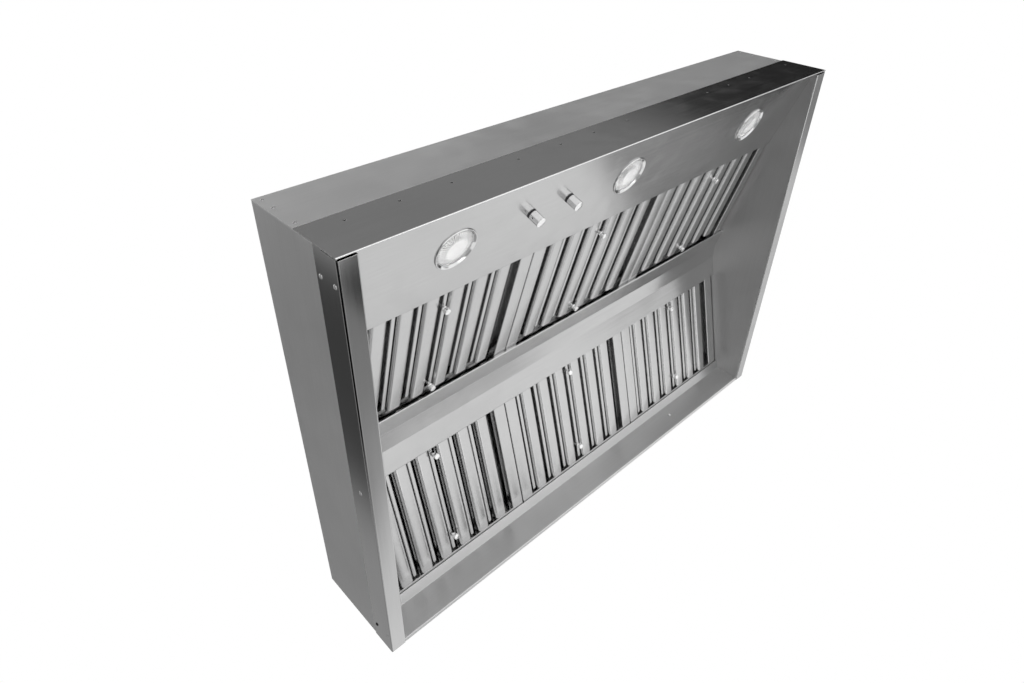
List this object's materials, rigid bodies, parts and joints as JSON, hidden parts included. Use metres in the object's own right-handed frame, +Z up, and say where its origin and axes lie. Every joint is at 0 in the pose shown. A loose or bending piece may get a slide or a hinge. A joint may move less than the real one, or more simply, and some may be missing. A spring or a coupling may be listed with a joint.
{
  "type": "range hood insert",
  "caption": "Built-in range hood insert: folded stainless casing with a sloping light and control panel, baffle filters in an upside-down V and a duct collar with a damper.",
  "frame": {"origin": "middle of the bottom rim, at the height of the rim's lower face", "axes": "+Z up into the duct, -Y towards the cook, +X to the cook's right"},
  "size_m": [1.2222, 0.854, 0.2645],
  "materials": {
    "front_steel": "brushed stainless, grain along X",
    "skirt_steel": "brushed stainless, grain along X",
    "side_steel": "brushed stainless, grain along Y",
    "casing_steel": "mill-finish sheet",
    "liner_steel": "brushed stainless, grain along Y",
    "ledge_steel": "brushed stainless, grain along X",
    "panel_steel": "brushed stainless, grain along X",
    "divider_steel": "brushed stainless, grain along X",
    "inner_steel": "mill-finish sheet",
    "duct_steel": "galvanised sheet",
    "box_steel": "galvanised sheet",
    "can_steel": "galvanised, drawn",
    "screw_steel": "bright turned steel",
    "bezel_chrome": "polished",
    "lens_glass": "clear, with fine radial flutes near its rim",
    "bulb_glass": "aluminised reflector glass",
    "socket_ceramic": "glazed ceramic",
    "control_plastic": "moulded, matt black",
    "control_knob_steel": "polished, turned",
    "filter_frame_steel": "satin stainless, grain along the slots",
    "baffle_steel": "satin stainless, grain along the slots",
    "filter_knob_steel": "polished, turned"
  },
  "bodies": {
    "casing": {"top_plate": "casing_steel", "front_upper_panel": "front_steel", "front_skirt": "skirt_steel", "rear_panel": "casing_steel", "left_side_panel": "side_steel", "right_side_panel": "side_steel", "left_side_liner": "liner_steel", "right_side_liner": "liner_steel", "rear_liner": "ledge_steel", "light_panel": "panel_steel", "centre_divider": "divider_steel", "front_filter_rail": "inner_steel", "rear_filter_rail": "inner_steel", "plenum_front_wall": "inner_steel", "side_screws": "screw_steel", "duct_collar": "duct_steel", "damper_pin": "screw_steel", "lamp_sockets": "socket_ceramic", "control_nuts": "screw_steel", "junction_box": "box_steel", "junction_box_cover": "box_steel", "left_lamp_bezel": "bezel_chrome", "left_lamp_lens": "lens_glass", "left_lamp_can": "can_steel", "left_lamp_bulb": "bulb_glass", "middle_lamp_bezel": "bezel_chrome", "middle_lamp_lens": "lens_glass", "middle_lamp_can": "can_steel", "middle_lamp_bulb": "bulb_glass", "right_lamp_bezel": "bezel_chrome", "right_lamp_lens": "lens_glass", "right_lamp_can": "can_steel", "right_lamp_bulb": "bulb_glass", "fan_control": "control_plastic", "light_control": "control_plastic"},
    "front_damper_flap": {"front_damper_flap": "duct_steel"},
    "rear_damper_flap": {"rear_damper_flap": "duct_steel"},
    "fan_knob": {"fan_knob": "control_knob_steel", "fan_shaft": "screw_steel"},
    "light_knob": {"light_knob": "control_knob_steel", "light_shaft": "screw_steel"},
    "front_left_filter": {"front_left_filter_frame": "filter_frame_steel", "front_left_filter_baffles": "baffle_steel", "front_left_filter_knobs": "filter_knob_steel"},
    "front_middle_filter": {"front_middle_filter_frame": "filter_frame_steel", "front_middle_filter_baffles": "baffle_steel", "front_middle_filter_knobs": "filter_knob_steel"},
    "front_right_filter": {"front_right_filter_frame": "filter_frame_steel", "front_right_filter_baffles": "baffle_steel", "front_right_filter_knobs": "filter_knob_steel"},
    "rear_left_filter": {"rear_left_filter_frame": "filter_frame_steel", "rear_left_filter_baffles": "baffle_steel", "rear_left_filter_knobs": "filter_knob_steel"},
    "rear_middle_filter": {"rear_middle_filter_frame": "filter_frame_steel", "rear_middle_filter_baffles": "baffle_steel", "rear_middle_filter_knobs": "filter_knob_steel"},
    "rear_right_filter": {"rear_right_filter_frame": "filter_frame_steel", "rear_right_filter_baffles": "baffle_steel", "rear_right_filter_knobs": "filter_knob_steel"}
  },
  "joints": [
    {"name": "front_flap_hinge", "type": "hinge", "parent": "casing", "child": "front_damper_flap", "pos_m": [0, 0, 0.2295], "axis": [-1, 0, 0], "range_deg": [0, 78]},
    {"name": "rear_flap_hinge", "type": "hinge", "parent": "casing", "child": "rear_damper_flap", "pos_m": [0, 0, 0.2295], "axis": [1, 0, 0], "range_deg": [0, 78]},
    {"name": "fan_knob_turn", "type": "hinge", "parent": "casing", "child": "fan_knob", "pos_m": [-0.2435, -0.35061, 0.03612], "axis": [0, 0.3415, -0.9399], "range_deg": [0, 270]},
    {"name": "light_knob_turn", "type": "hinge", "parent": "casing", "child": "light_knob", "pos_m": [-0.157, -0.35061, 0.03612], "axis": [0, 0.3415, -0.9399], "range_deg": [0, 270]},
    {"name": "front_left_filter_lift", "type": "slide", "parent": "casing", "child": "front_left_filter", "axis": [0, 0.9655, 0.2605], "range_m": [0, 0.014]},
    {"name": "front_middle_filter_lift", "type": "slide", "parent": "casing", "child": "front_middle_filter", "axis": [0, 0.9655, 0.2605], "range_m": [0, 0.014]},
    {"name": "front_right_filter_lift", "type": "slide", "parent": "casing", "child": "front_right_filter", "axis": [0, 0.9655, 0.2605], "range_m": [0, 0.014]},
    {"name": "rear_left_filter_lift", "type": "slide", "parent": "casing", "child": "rear_left_filter", "axis": [0, -0.9655, 0.2605], "range_m": [0, 0.014]},
    {"name": "rear_middle_filter_lift", "type": "slide", "parent": "casing", "child": "rear_middle_filter", "axis": [0, -0.9655, 0.2605], "range_m": [0, 0.014]},
    {"name": "rear_right_filter_lift", "type": "slide", "parent": "casing", "child": "rear_right_filter", "axis": [0, -0.9655, 0.2605], "range_m": [0, 0.014]}
  ]
}
